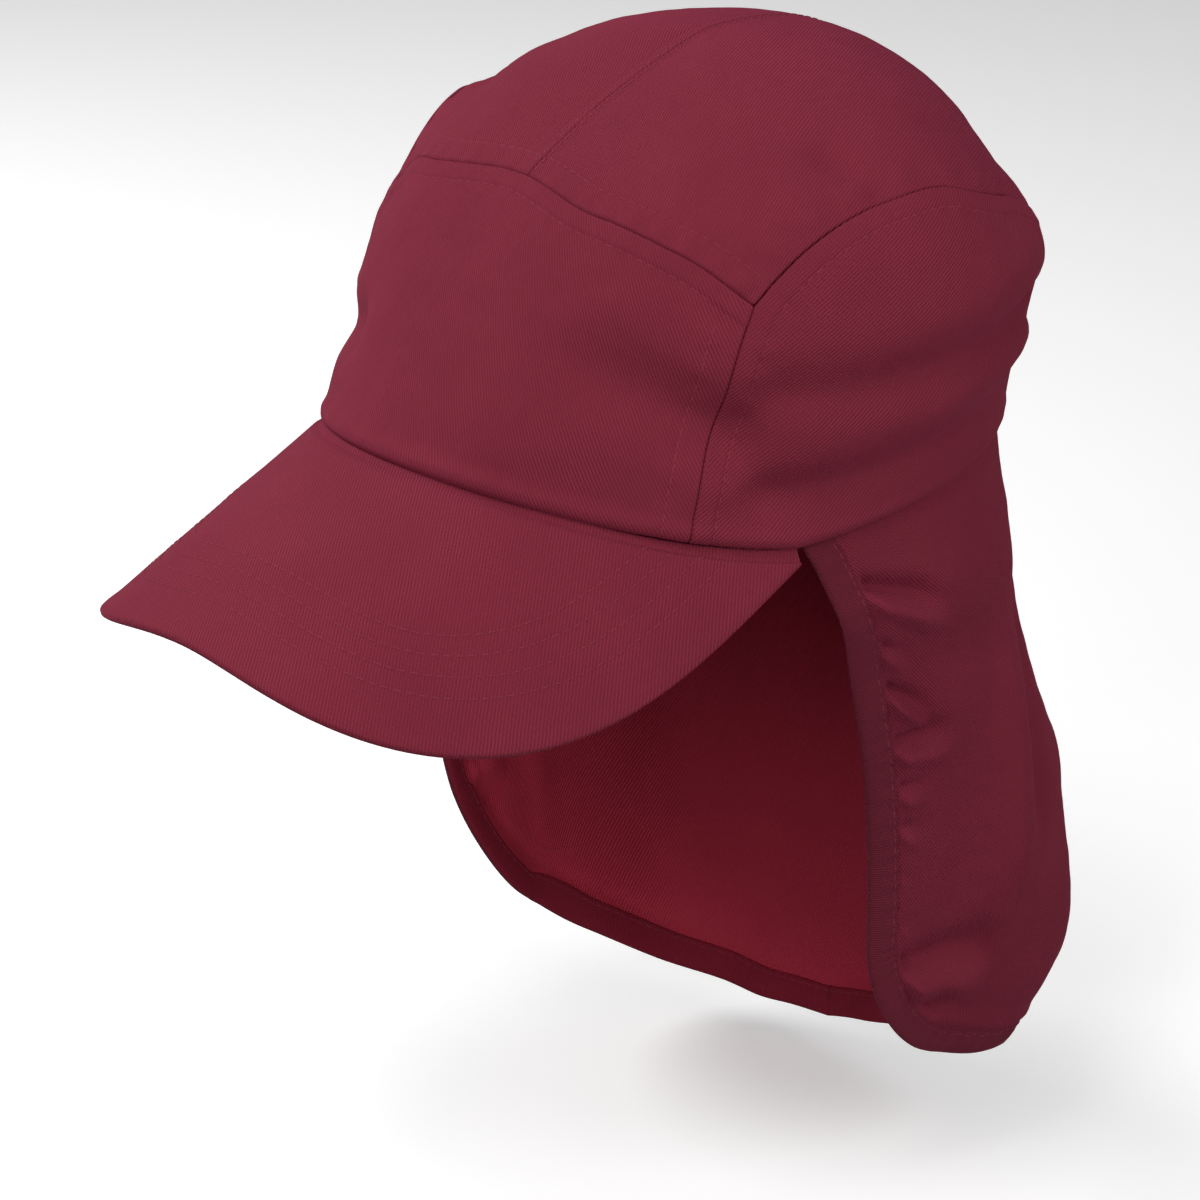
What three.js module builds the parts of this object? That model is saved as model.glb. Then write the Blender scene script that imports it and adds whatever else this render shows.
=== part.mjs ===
import * as THREE from 'three';

// Legionnaire cap. Millimetres, +Z up, the peak points along -Y, the wearer's left is +X.
// The origin is the middle of the head opening, at the height of the rim beside the ears.
// Angles round the head start at the front and grow towards the wearer's left.

const RAD = Math.PI / 180;

// Head opening
const FRONT_REACH = 101;
const BACK_REACH = 93;
const SIDE_REACH = 85;
const CROWN_HEIGHT = 108;
const CROWN_LEAN = 18.5;
const BACK_LIFT = 1.4;
const SIDE_LIFT = 5;
const CLOTH = 1.6;
const SEAM_GAP = 0.34;

// Peak
const PEAK_END_ANGLE = 69.6 * RAD;
const PEAK_REACH = 131.5;
const PEAK_HALF_WIDTH = 80.7;
const PEAK_SQUARENESS = 2.93;
const PEAK_THICKNESS = 2.6;
const PEAK_LIFT = 16.8;
const PEAK_SLOPE = 0.41;
const PEAK_ARCH_RADIUS = 89;
const PEAK_ARCH_EASE = -0.104 / 100;
const TUCK = 2.5;

// Flap
const FLAP_LENGTH = 200;
const FLAP_BILLOW = 20;
const FLAP_START = 1.2 * RAD;
const FLAP_INSET = 0.8;
const CORNER_START = 0.8;
const CORNER_DEPTH = 0.22;
const BINDING_WIDTH = 9;
const BINDING_RAISE = 0.5;
const GATHER_PITCH = 16.5;
const GATHER_DEPTH = 1.5;
const GATHER_REACH = 17;

// Soft folds
const FOLD_WIDTH = 10;
const FOLD_DEPTH = 2;

// Crown sections from the crest to the rim: share of the crown height, and share of the
// rim's own reach in five directions.
const CROWN_SECTIONS = [
  { at: 0.00, height: 1.000, front: 0.000, frontSide: 0.000, side: 0.000, backSide: 0.000, back: 0.000 },
  { at: 0.20, height: 0.970, front: 0.170, frontSide: 0.280, side: 0.360, backSide: 0.340, back: 0.320 },
  { at: 0.40, height: 0.855, front: 0.450, frontSide: 0.585, side: 0.710, backSide: 0.640, back: 0.600 },
  { at: 0.55, height: 0.715, front: 0.650, frontSide: 0.775, side: 0.955, backSide: 0.820, back: 0.775 },
  { at: 0.70, height: 0.530, front: 0.770, frontSide: 0.885, side: 1.075, backSide: 1.010, back: 0.910 },
  { at: 0.80, height: 0.375, front: 0.835, frontSide: 0.940, side: 1.090, backSide: 1.070, back: 0.975 },
  { at: 0.90, height: 0.200, front: 0.910, frontSide: 0.970, side: 1.060, backSide: 1.040, back: 1.000 },
  { at: 1.00, height: 0.000, front: 1.000, frontSide: 1.000, side: 1.000, backSide: 1.000, back: 1.000 },
];

// The seam across the front, from the right corner to the left one.
const CROSS_SEAM = [
  { angle: -59, at: 0.668 },
  { angle: -47, at: 0.588 },
  { angle: -34, at: 0.562 },
  { angle: -24, at: 0.548 },
  { angle: -12, at: 0.537 },
  { angle: 0, at: 0.537 },
  { angle: 12, at: 0.550 },
  { angle: 22, at: 0.566 },
  { angle: 32, at: 0.577 },
  { angle: 41, at: 0.597 },
  { angle: 50, at: 0.629 },
  { angle: 59, at: 0.682 },
];

// The seam from the corner down to the rim, share of the way down and angle.
const SIDE_FRONT_SEAM = [
  { down: 0.00, angle: 59.0 },
  { down: 0.22, angle: 57.2 },
  { down: 0.45, angle: 56.0 },
  { down: 0.72, angle: 54.0 },
  { down: 1.00, angle: 52.3 },
];

// The seam over the D-shaped side, from the corner back to the rim behind.
const SIDE_TOP_SEAM = [
  { angle: 59, at: 0.682 },
  { angle: 62, at: 0.642 },
  { angle: 66, at: 0.598 },
  { angle: 71, at: 0.560 },
  { angle: 78, at: 0.530 },
  { angle: 86, at: 0.518 },
  { angle: 93, at: 0.522 },
  { angle: 100, at: 0.550 },
  { angle: 107, at: 0.580 },
  { angle: 114, at: 0.606 },
  { angle: 121, at: 0.642 },
  { angle: 131, at: 0.705 },
  { angle: 141, at: 0.785 },
  { angle: 149, at: 0.880 },
  { angle: 154, at: 1.000 },
];
const SIDE_TURN = 10 / 14;

// Folds and dents of the crown, each a line between two places. Width and depth are shares of
// the fold width and depth, and a negative depth stands out.
const CROWN_FOLDS = [
  { fromAngle: 106, fromAt: 0.787, toAngle: 66, toAt: 0.790, width: 0.7, depth: 1.1 },
  { fromAngle: 112, fromAt: 0.887, toAngle: 68, toAt: 0.915, width: 0.7, depth: 0.9 },
  { fromAngle: 118, fromAt: 0.725, toAngle: 104, toAt: 0.725, width: 0.9, depth: -0.9 },
  { fromAngle: 120, fromAt: 0.835, toAngle: 84, toAt: 0.835, width: 0.6, depth: -0.6 },
  { fromAngle: 46, fromAt: 0.790, toAngle: 50, toAt: 0.860, width: 1.1, depth: 1.3 },
  { fromAngle: 74, fromAt: 0.450, toAngle: 79, toAt: 0.510, width: 0.8, depth: 0.8 },
  { fromAngle: -26, fromAt: 0.825, toAngle: -44, toAt: 0.850, width: 0.9, depth: 1.3 },
  { fromAngle: -56, fromAt: 0.500, toAngle: -34, toAt: 0.480, width: 0.7, depth: 0.8 },
  { fromAngle: -70, fromAt: 0.800, toAngle: -104, toAt: 0.780, width: 0.9, depth: 1.0 },
  { fromAngle: -74, fromAt: 0.910, toAngle: -116, toAt: 0.890, width: 0.8, depth: 0.8 },
  { fromAngle: -150, fromAt: 0.860, toAngle: 160, toAt: 0.850, width: 0.9, depth: 0.8 },
];

// Hanging lines of the flap, from the left front edge round the back to the right one.
// belly is how far the middle of the line stands out from the rim, hemOut how far its foot
// does and hemBack how far the foot is set back, as shares of the billow. drop is how far it
// hangs, as a share of the length.
const FLAP_LINES = [
  { at: -1.00, belly: -0.185, hemOut: -0.43, hemBack: 1.875, drop: 0.86 },
  { at: -0.85, belly: 0.20, hemOut: -0.70, hemBack: 1.80, drop: 0.91 },
  { at: -0.60, belly: 0.75, hemOut: -0.375, hemBack: 1.00, drop: 0.975 },
  { at: -0.45, belly: 1.00, hemOut: -0.075, hemBack: 0.575, drop: 1.005 },
  { at: -0.30, belly: 0.90, hemOut: -0.15, hemBack: 0.00, drop: 1.045 },
  { at: 0.00, belly: 0.45, hemOut: -1.00, hemBack: 0.00, drop: 1.09 },
  { at: 0.30, belly: 0.80, hemOut: -0.90, hemBack: -0.05, drop: 1.095 },
  { at: 0.45, belly: 0.85, hemOut: -0.70, hemBack: -0.10, drop: 1.07 },
  { at: 0.60, belly: 0.65, hemOut: -0.60, hemBack: -0.20, drop: 0.9975 },
  { at: 0.85, belly: 0.40, hemOut: -0.575, hemBack: 0.675, drop: 0.90 },
  { at: 1.00, belly: 0.60, hemOut: -0.60, hemBack: 1.175, drop: 0.85 },
];
const BELLY_HEIGHT = 1.8;
const HEM_CURL = 2.2;
const EDGE_SWEEP = 2.6;

// Soft hanging folds of the flap: place at the top and the foot of the fold, the stretch of
// the drop that it covers, width as a share of the half sheet, and depth as a share of the
// fold depth.
const FLAP_FOLDS = [
  { top: -0.50, foot: -0.46, from: 0.06, to: 0.44, width: 0.035, depth: 1.0 },
  { top: -0.44, foot: -0.38, from: 0.34, to: 0.66, width: 0.040, depth: 1.0 },
  { top: -0.62, foot: -0.70, from: 0.55, to: 0.95, width: 0.050, depth: 0.8 },
  { top: -0.20, foot: -0.14, from: 0.10, to: 1.00, width: 0.070, depth: 1.2 },
  { top: 0.14, foot: 0.20, from: 0.15, to: 1.00, width: 0.070, depth: 1.0 },
  { top: 0.45, foot: 0.52, from: 0.10, to: 0.80, width: 0.060, depth: 1.1 },
  { top: 0.70, foot: 0.66, from: 0.35, to: 0.95, width: 0.050, depth: 0.8 },
];

// Mesh steps
const FRONT_STEPS = { across: 24, down: 12 };
const TOP_STEPS = { along: 28, across: 12 };
const SIDE_STEPS = { along: 20, down: 8 };
const PEAK_STEPS = { across: 30, out: 9 };
const FLAP_STEPS = { round: 34, down: 26 };

const clamp = (x, low, high) => Math.min(high, Math.max(low, x));
const smooth = (x) => {
  const t = clamp(x, 0, 1);
  return t * t * (3 - 2 * t);
};

// Smooth curve through the rows of a table, one column against another.
function curve(rows, key, column, value) {
  const xs = rows.map((row) => row[key]);
  const ys = rows.map((row) => row[column]);
  const last = xs.length - 1;
  const x = clamp(value, xs[0], xs[last]);
  let i = 0;
  while (i < last - 1 && x >= xs[i + 1]) i += 1;
  const rise = (k) => (ys[k + 1] - ys[k]) / (xs[k + 1] - xs[k]);
  const slope = (k) => {
    if (k === 0) return rise(0);
    if (k === last) return rise(last - 1);
    const before = xs[k] - xs[k - 1];
    const after = xs[k + 1] - xs[k];
    return (rise(k - 1) * after + rise(k) * before) / (before + after);
  };
  const step = xs[i + 1] - xs[i];
  const t = (x - xs[i]) / step;
  return (2 * t ** 3 - 3 * t ** 2 + 1) * ys[i]
    + (t ** 3 - 2 * t ** 2 + t) * step * slope(i)
    + (3 * t ** 2 - 2 * t ** 3) * ys[i + 1]
    + (t ** 3 - t ** 2) * step * slope(i + 1);
}

// The same sections continued past the crest, so that the curve is round there.
const DIRECTIONS = ['front', 'frontSide', 'side', 'backSide', 'back'];
const FULL_SECTIONS = [
  ...CROWN_SECTIONS.slice(1).reverse().map((row) => ({
    at: -row.at,
    height: row.height,
    front: -row.front,
    frontSide: -row.frontSide,
    side: -row.side,
    backSide: -row.backSide,
    back: -row.back,
  })),
  ...CROWN_SECTIONS,
];

// Rim
const rimDepth = (angle) => (Math.cos(angle) > 0 ? FRONT_REACH : BACK_REACH);
const rimPlan = (angle) => [SIDE_REACH * Math.sin(angle), -rimDepth(angle) * Math.cos(angle)];
function rimNormal(angle) {
  const nx = Math.sin(angle) / SIDE_REACH;
  const ny = -Math.cos(angle) / rimDepth(angle);
  const length = Math.hypot(nx, ny);
  return [nx / length, ny / length];
}
const archDrop = (x) => PEAK_ARCH_RADIUS - Math.sqrt(Math.max(PEAK_ARCH_RADIUS ** 2 - x * x, 1));
const boardHeight = (x, y) => PEAK_LIFT + PEAK_SLOPE * (y + FRONT_REACH)
  - archDrop(x) * (1 + PEAK_ARCH_EASE * (y + FRONT_REACH));
const turned = (angle) => {
  const full = 2 * Math.PI;
  return Math.abs(((((angle + Math.PI) % full) + full) % full) - Math.PI);
};
const peakEnd = rimPlan(PEAK_END_ANGLE);
function rimHeight(angle) {
  const t = turned(angle);
  if (t <= PEAK_END_ANGLE) return boardHeight(...rimPlan(t));
  const endHeight = boardHeight(...peakEnd);
  const share = (t - PEAK_END_ANGLE) / (Math.PI - PEAK_END_ANGLE);
  return endHeight + (BACK_LIFT - endHeight) * Math.sin(share * Math.PI / 2) ** 2
    + SIDE_LIFT * Math.sin(share * Math.PI);
}

// Crown surface over a flat disc: the crest is the disc's middle and the rim its edge.
function reachShare(angle, at) {
  const place = turned(angle) / (Math.PI / 4);
  const i = Math.min(3, Math.floor(place));
  const t = place - i;
  const value = (k) => {
    let index = Math.abs(k);
    if (index > 4) index = 8 - index;
    return curve(FULL_SECTIONS, 'at', DIRECTIONS[index], at);
  };
  const slope = (k) => (value(k + 1) - value(k - 1)) / 2;
  return (2 * t ** 3 - 3 * t ** 2 + 1) * value(i)
    + (t ** 3 - 2 * t ** 2 + t) * slope(i)
    + (3 * t ** 2 - 2 * t ** 3) * value(i + 1)
    + (t ** 3 - t ** 2) * slope(i + 1);
}
function plainCrown(angle, at) {
  const height = clamp(curve(FULL_SECTIONS, 'at', 'height', at), 0, 1);
  const reach = reachShare(angle, at);
  const [x, y] = rimPlan(angle);
  return new THREE.Vector3(
    x * reach,
    y * reach + CROWN_LEAN * height ** 1.5,
    CROWN_HEIGHT * height + rimHeight(angle) * (1 - height) ** 1.5,
  );
}
const FOLD_POINTS = 6;
const foldLines = CROWN_FOLDS.map((fold) => {
  let sweep = fold.toAngle - fold.fromAngle;
  if (sweep > 180) sweep -= 360;
  if (sweep < -180) sweep += 360;
  const points = [];
  for (let i = 0; i <= FOLD_POINTS; i += 1) {
    const share = i / FOLD_POINTS;
    const angle = (fold.fromAngle + sweep * share) * RAD;
    points.push(plainCrown(angle, fold.fromAt + (fold.toAt - fold.fromAt) * share));
  }
  return { ...fold, points };
});
function foldDepth(point) {
  let total = 0;
  for (const fold of foldLines) {
    let nearest = Infinity;
    for (let i = 0; i < FOLD_POINTS; i += 1) {
      const line = new THREE.Line3(fold.points[i], fold.points[i + 1]);
      const foot = line.closestPointToPoint(point, true, new THREE.Vector3());
      nearest = Math.min(nearest, foot.distanceTo(point));
    }
    total += FOLD_DEPTH * fold.depth * Math.exp(-((nearest / (FOLD_WIDTH * fold.width)) ** 2));
  }
  return total;
}
const polar = (px, py) => [Math.atan2(px, -py), Math.hypot(px, py)];
const disc = (angle, at) => [at * Math.sin(angle), -at * Math.cos(angle)];
const DISC_STEP = 0.004;
function slopeNormal(surface, px, py) {
  const east = surface(px + DISC_STEP, py);
  const west = surface(px - DISC_STEP, py);
  const north = surface(px, py + DISC_STEP);
  const south = surface(px, py - DISC_STEP);
  return east.sub(west).cross(north.sub(south)).normalize();
}
const plainSurface = (px, py) => {
  const [angle, at] = polar(px, py);
  return plainCrown(angle, Math.min(at, 1));
};
function crownSurface(px, py) {
  const [angle, at] = polar(px, py);
  const point = plainCrown(angle, Math.min(at, 1));
  const inner = Math.min(at, 1 - 2 * DISC_STEP);
  const [nx, ny] = disc(angle, inner);
  const normal = slopeNormal(plainSurface, nx, ny);
  const nearRim = smooth((1 - at) / 0.1);
  return point.addScaledVector(normal, -foldDepth(point) * nearRim);
}
function crownNormal(px, py) {
  const [angle, at] = polar(px, py);
  const [nx, ny] = disc(angle, Math.min(at, 1 - 2 * DISC_STEP));
  return slopeNormal(crownSurface, nx, ny);
}

// Seams as places on the disc, share 0 to 1 along each.
const cornerAt = (side) => curve(CROSS_SEAM, 'angle', 'at', side * 59);
const crossSeam = (share) => {
  const angle = -59 + 118 * share;
  return disc(angle * RAD, curve(CROSS_SEAM, 'angle', 'at', angle));
};
const sideFrontSeam = (side) => (down) => {
  const at = cornerAt(side) + (1 - cornerAt(side)) * down;
  return disc(side * curve(SIDE_FRONT_SEAM, 'down', 'angle', down) * RAD, at);
};
const topRows = SIDE_TOP_SEAM.map((row, i) => ({ share: i / (SIDE_TOP_SEAM.length - 1), ...row }));
const sideTopSeam = (side) => (share) => {
  const fit = (cornerAt(side) - SIDE_TOP_SEAM[0].at) * (1 - smooth(share / 0.3));
  const angle = curve(topRows, 'share', 'angle', share);
  return disc(side * angle * RAD, curve(topRows, 'share', 'at', share) + fit);
};
const rimLine = (fromAngle, toAngle) => (share) => disc((fromAngle + (toAngle - fromAngle) * share) * RAD, 1);
const middleLine = (share) => {
  const front = curve(CROSS_SEAM, 'angle', 'at', 0);
  return [0, -front + (1 + front) * share];
};

// A four-sided patch stretched between its edges. near and far run with u, start and end with v.
function patch(near, far, start, end) {
  const corner = [near(0), near(1), far(0), far(1)];
  return (u, v) => [0, 1].map((k) => (1 - v) * near(u)[k] + v * far(u)[k]
    + (1 - u) * start(v)[k] + u * end(v)[k]
    - (1 - u) * (1 - v) * corner[0][k] - u * (1 - v) * corner[1][k]
    - (1 - u) * v * corner[2][k] - u * v * corner[3][k]);
}

// Grid of places of a patch, drawn in at the edges to leave the seam gap.
function seamedGrid(place, surface, columns, rows) {
  const grid = [];
  for (let j = 0; j <= rows; j += 1) {
    for (let i = 0; i <= columns; i += 1) grid.push(place(i / columns, j / rows));
  }
  const index = (i, j) => j * (columns + 1) + i;
  const moved = grid.map((spot) => [...spot]);
  const draw = (i, j, k, m) => {
    const from = grid[index(i, j)];
    const to = grid[index(k, m)];
    const share = SEAM_GAP / 2 / surface(...from).distanceTo(surface(...to));
    moved[index(i, j)][0] += (to[0] - from[0]) * share;
    moved[index(i, j)][1] += (to[1] - from[1]) * share;
  };
  for (let i = 0; i <= columns; i += 1) {
    draw(i, 0, i, 1);
    draw(i, rows, i, rows - 1);
  }
  for (let j = 0; j <= rows; j += 1) {
    draw(0, j, 1, j);
    draw(columns, j, columns - 1, j);
  }
  return moved;
}

// Closed sheet from an outer and an inner grid of points.
function sheetGeometry(outer, inner, columns, rows) {
  const positions = [];
  for (const point of [...outer, ...inner]) positions.push(point.x, point.y, point.z);
  const faces = [];
  const back = outer.length;
  const index = (i, j) => j * (columns + 1) + i;
  const quad = (a, b, c, d) => {
    const points = [...outer, ...inner];
    const near = points[a].distanceTo(points[c]) <= points[b].distanceTo(points[d]);
    if (near) faces.push(a, b, c, a, c, d);
    else faces.push(a, b, d, b, c, d);
  };
  for (let j = 0; j < rows; j += 1) {
    for (let i = 0; i < columns; i += 1) {
      const [a, b, c, d] = [index(i, j), index(i + 1, j), index(i + 1, j + 1), index(i, j + 1)];
      quad(a, b, c, d);
      quad(back + d, back + c, back + b, back + a);
    }
  }
  const rim = [];
  for (let i = 0; i < columns; i += 1) rim.push(index(i, 0));
  for (let j = 0; j < rows; j += 1) rim.push(index(columns, j));
  for (let i = columns; i > 0; i -= 1) rim.push(index(i, rows));
  for (let j = rows; j > 0; j -= 1) rim.push(index(0, j));
  for (let k = 0; k < rim.length; k += 1) {
    const a = rim[k];
    const b = rim[(k + 1) % rim.length];
    quad(b, a, back + a, back + b);
  }
  const geometry = new THREE.BufferGeometry();
  geometry.setAttribute('position', new THREE.Float32BufferAttribute(positions, 3));
  geometry.setIndex(faces);
  if (volume(geometry) < 0) {
    const index32 = geometry.getIndex();
    for (let k = 0; k < index32.count; k += 3) {
      const swap = index32.getX(k + 1);
      index32.setX(k + 1, index32.getX(k + 2));
      index32.setX(k + 2, swap);
    }
  }
  geometry.computeVertexNormals();
  return geometry;
}
function volume(geometry) {
  const position = geometry.getAttribute('position');
  const index = geometry.getIndex();
  const [a, b, c] = [new THREE.Vector3(), new THREE.Vector3(), new THREE.Vector3()];
  let total = 0;
  for (let k = 0; k < index.count; k += 3) {
    a.fromBufferAttribute(position, index.getX(k));
    b.fromBufferAttribute(position, index.getX(k + 1));
    c.fromBufferAttribute(position, index.getX(k + 2));
    total += a.dot(b.cross(c)) / 6;
  }
  return total;
}

// Crown panels. In front the wall goes on a little behind the peak's root.
function tuckDepth(angle) {
  return TUCK * smooth((0.84 * PEAK_END_ANGLE - turned(angle)) / (6 * RAD));
}
function crownPanel(place, columns, rows) {
  const spots = seamedGrid(place, crownSurface, columns, rows);
  const outer = [];
  const inner = [];
  for (const [px, py] of spots) {
    const point = crownSurface(px, py);
    const normal = crownNormal(px, py);
    const [angle, at] = polar(px, py);
    point.z -= tuckDepth(angle) * smooth((at - 0.975) / 0.02);
    outer.push(point);
    inner.push(point.clone().addScaledVector(normal, -CLOTH));
  }
  return sheetGeometry(outer, inner, columns, rows);
}

// Peak board between its root on the rim and its outer edge.
function peakEdge(share) {
  const turn = Math.abs(share) * Math.PI / 2;
  const sine = Math.sin(turn);
  const cosine = Math.cos(turn);
  const round = (sine ** PEAK_SQUARENESS + cosine ** PEAK_SQUARENESS) ** (-1 / PEAK_SQUARENESS);
  const toEnd = 1 + (peakEnd[0] / PEAK_HALF_WIDTH - 1) * sine ** 12;
  return [Math.sign(share) * PEAK_HALF_WIDTH * sine * round * toEnd, peakEnd[1] - PEAK_REACH * cosine * round];
}
function boardNormal(x, y) {
  const step = 0.05;
  const slopeX = (boardHeight(x + step, y) - boardHeight(x - step, y)) / (2 * step);
  const slopeY = (boardHeight(x, y + step) - boardHeight(x, y - step)) / (2 * step);
  return new THREE.Vector3(-slopeX, -slopeY, 1).normalize();
}
function peakGeometry() {
  const { across, out } = PEAK_STEPS;
  const upper = [];
  const lower = [];
  for (let j = 0; j <= out; j += 1) {
    for (let i = 0; i <= across; i += 1) {
      const share = Math.sin((2 * i / across - 1) * Math.PI / 2 * 0.9) / Math.sin(Math.PI / 2 * 0.9);
      const angle = share * PEAK_END_ANGLE;
      const [nx, ny] = rimNormal(angle);
      const root = rimPlan(angle).map((value, k) => value + [nx, ny][k] * SEAM_GAP);
      const edge = peakEdge(share).map((value, k) => value + [nx, ny][k] * SEAM_GAP * 1.5);
      const v = j / out;
      const x = root[0] + (edge[0] - root[0]) * v;
      const y = root[1] + (edge[1] - root[1]) * v;
      const top = new THREE.Vector3(x, y, boardHeight(x, y));
      const normal = boardNormal(x, y);
      const below = top.clone().addScaledVector(normal, -PEAK_THICKNESS);
      const plumb = new THREE.Vector3(x, y, top.z - PEAK_THICKNESS / normal.z);
      const free = Math.max(smooth(v / 0.25), smooth((Math.abs(share) - 0.86) / 0.1));
      upper.push(top);
      lower.push(plumb.lerp(below, free));
    }
  }
  return sheetGeometry(upper, lower, across, out);
}

// Neck flap: place across the sheet from -1 at the left front edge to 1 at the right one, and
// share of the drop from 0 at the seam to 1 at the hem.
const flapAngle = (at) => Math.PI + at * (Math.PI - PEAK_END_ANGLE - FLAP_START);
function hangingFolds(at, down) {
  let total = 0;
  for (const fold of FLAP_FOLDS) {
    const share = (down - fold.from) / (fold.to - fold.from);
    const centre = fold.top + (fold.foot - fold.top) * clamp(share, 0, 1);
    const fade = smooth(share * 3) * (fold.to >= 1 ? 1 : smooth((1 - share) * 3));
    total += FOLD_DEPTH * fold.depth * fade * Math.exp(-(((at - centre) / fold.width) ** 2));
  }
  return total;
}
function flapPoint(at, down) {
  const angle = flapAngle(at);
  const value = (column) => curve(FLAP_LINES, 'at', column, at);
  const [x, y] = rimPlan(angle);
  const [nx, ny] = rimNormal(angle);
  const out = FLAP_BILLOW * value('belly') * Math.sin(Math.PI * clamp(down, 0, 1) ** BELLY_HEIGHT)
    + FLAP_BILLOW * value('hemOut') * down ** HEM_CURL - FLAP_INSET - hangingFolds(at, down);
  const set = FLAP_BILLOW * value('hemBack') * (1 - (1 - clamp(down, 0, 1)) ** EDGE_SWEEP);
  const low = FLAP_LENGTH * value('drop') * down;
  return new THREE.Vector3(x + nx * out, y + ny * out + set, rimHeight(angle) - SEAM_GAP - low);
}
function flapFrame(at, down) {
  const step = 0.003;
  const low = Math.max(down, step);
  const alongAt = flapPoint(at + step, low).sub(flapPoint(at - step, low)).divideScalar(2 * step);
  const alongDown = flapPoint(at, low + step).sub(flapPoint(at, low - step)).divideScalar(2 * step);
  const normal = alongDown.clone().cross(alongAt).normalize();
  return { alongAt, alongDown, normal };
}

// Free edge of the sheet: down the left front, along the hem and up the right front.
function freeEdge(share) {
  const straight = 1 - CORNER_DEPTH;
  if (share < 0) {
    const t = 1 + share;
    if (t < 0.75) return [-1, straight * t / 0.75];
    const turn = (t - 0.75) / 0.25 * Math.PI / 4;
    return [-1 + (1 - CORNER_START) * (1 - Math.cos(turn)), straight + CORNER_DEPTH * Math.sin(turn)];
  }
  if (share > 1) {
    const [at, down] = freeEdge(1 - share);
    return [-at, down];
  }
  if (share < 0.14) {
    const turn = (1 + share / 0.14) * Math.PI / 4;
    return [-1 + (1 - CORNER_START) * (1 - Math.cos(turn)), straight + CORNER_DEPTH * Math.sin(turn)];
  }
  if (share > 0.86) {
    const [at, down] = freeEdge(1 - share);
    return [-at, down];
  }
  return [-CORNER_START + 2 * CORNER_START * (share - 0.14) / 0.72, 1];
}
// The same edge drawn in by a width measured on the cloth.
function drawnEdge(share, width) {
  const step = 0.01;
  const [at, down] = freeEdge(share);
  const before = freeEdge(Math.max(share - step, -1));
  const after = freeEdge(Math.min(share + step, 2));
  const { alongAt, alongDown, normal } = flapFrame(at, down);
  const tangent = alongAt.clone().multiplyScalar(after[0] - before[0])
    .addScaledVector(alongDown, after[1] - before[1]).normalize();
  const inward = normal.clone().cross(tangent);
  const aa = alongAt.dot(alongAt);
  const ad = alongAt.dot(alongDown);
  const dd = alongDown.dot(alongDown);
  const pa = alongAt.dot(inward) * width;
  const pd = alongDown.dot(inward) * width;
  const det = aa * dd - ad * ad;
  return [at + (pa * dd - pd * ad) / det, Math.max(down + (pd * aa - pa * ad) / det, 0)];
}
function gathers(at, down) {
  const { alongAt } = flapFrame(at, down);
  const fromEdge = (1 - Math.abs(at)) * alongAt.length() - BINDING_WIDTH;
  const along = down * FLAP_LENGTH * FLAP_LINES[0].drop / GATHER_PITCH;
  const fade = smooth(down / 0.06) * smooth((0.93 - down) / 0.1);
  const wave = Math.sin(2 * Math.PI * (along + 0.12 * Math.sin(9 * down)));
  return GATHER_DEPTH * wave * fade * Math.exp(-((Math.max(fromEdge, 0) / GATHER_REACH) ** 2));
}
const FLAP_EDGE_INSET = BINDING_WIDTH + SEAM_GAP;
// Columns stand closer together towards the two gathered front edges.
const columnShare = (i) => {
  const even = i / FLAP_STEPS.round;
  return 0.5 - 0.5 * (0.35 * Math.cos(Math.PI * even) + 0.65 * (1 - 2 * even));
};
function flapGeometry() {
  const { round, down } = FLAP_STEPS;
  const left = (v) => drawnEdge(-1 + v, FLAP_EDGE_INSET);
  const right = (v) => drawnEdge(2 - v, FLAP_EDGE_INSET);
  const hem = (u) => drawnEdge(u, FLAP_EDGE_INSET);
  const seam = (u) => [left(0)[0] + (right(0)[0] - left(0)[0]) * u, 0];
  const place = patch(seam, hem, left, right);
  const outer = [];
  const inner = [];
  for (let j = 0; j <= down; j += 1) {
    for (let i = 0; i <= round; i += 1) {
      const [at, low] = place(columnShare(i), j / down);
      const { normal } = flapFrame(at, low);
      const point = flapPoint(at, low).addScaledVector(normal, -gathers(at, low));
      outer.push(point);
      inner.push(point.clone().addScaledVector(normal, -CLOTH));
    }
  }
  return sheetGeometry(outer, inner, round, down);
}
function bindingGeometry() {
  const { round, down } = FLAP_STEPS;
  const shares = [];
  for (let j = 0; j < down; j += 1) shares.push(-1 + j / down);
  for (let i = 0; i < round; i += 1) shares.push(columnShare(i));
  for (let j = 0; j <= down; j += 1) shares.push(1 + j / down);
  const outer = [];
  const inner = [];
  for (let j = 0; j <= 2; j += 1) {
    for (const share of shares) {
      const [at, low] = drawnEdge(share, BINDING_WIDTH * j / 2);
      const { normal } = flapFrame(at, low);
      const point = flapPoint(at, low);
      const swell = BINDING_RAISE * (j === 1 ? 1 : 0.6);
      outer.push(point.clone().addScaledVector(normal, swell));
      inner.push(point.clone().addScaledVector(normal, -CLOTH - swell));
    }
  }
  return sheetGeometry(outer, inner, shares.length - 1, 2);
}

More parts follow.
